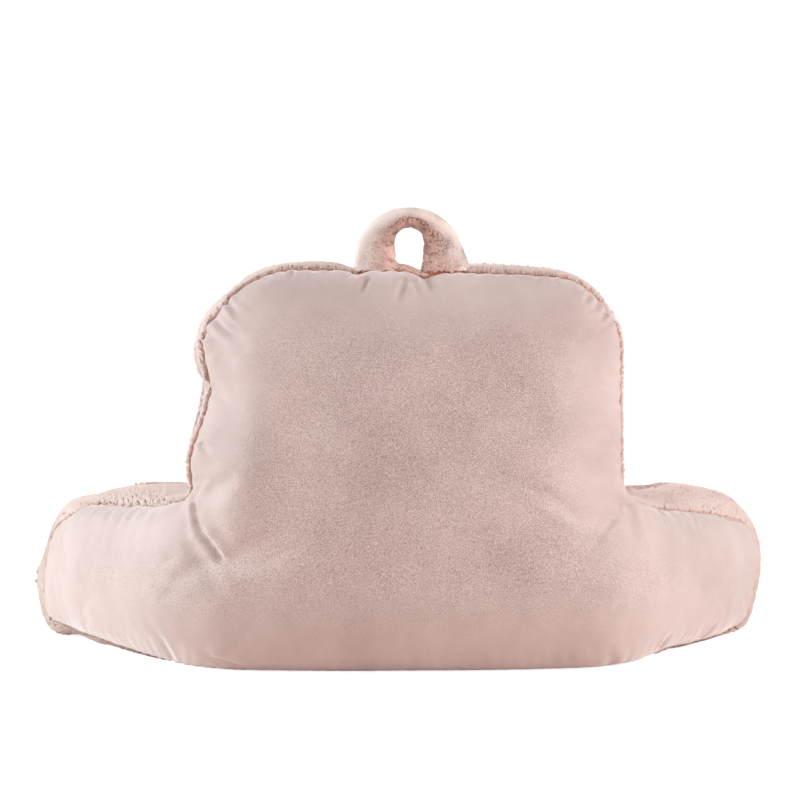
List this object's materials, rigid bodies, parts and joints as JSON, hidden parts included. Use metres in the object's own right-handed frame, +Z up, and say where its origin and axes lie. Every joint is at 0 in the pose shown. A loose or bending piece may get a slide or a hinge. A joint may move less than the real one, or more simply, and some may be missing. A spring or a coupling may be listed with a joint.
{
  "type": "reading pillow with arms",
  "caption": "Soft filled back rest with two forward-reaching arms, a smooth cloth back, plush front and edges, and a plush carrying loop on top.",
  "frame": {"origin": "centre of the bounding box's footprint, on the surface the pillow stands on", "axes": "+Z up, the smooth back faces -Y, the arms reach towards +Y, +X to the right seen from behind"},
  "size_m": [0.8296, 0.4132, 0.4753],
  "materials": {
    "plush_cloth": "long soft pile, matt blush pink",
    "smooth_cloth": "short brushed nap, soft sheen, blush pink"
  },
  "bodies": {
    "root": {"cushion_body": "plush_cloth", "back_panel": "smooth_cloth", "handle": "plush_cloth"}
  },
  "joints": []
}
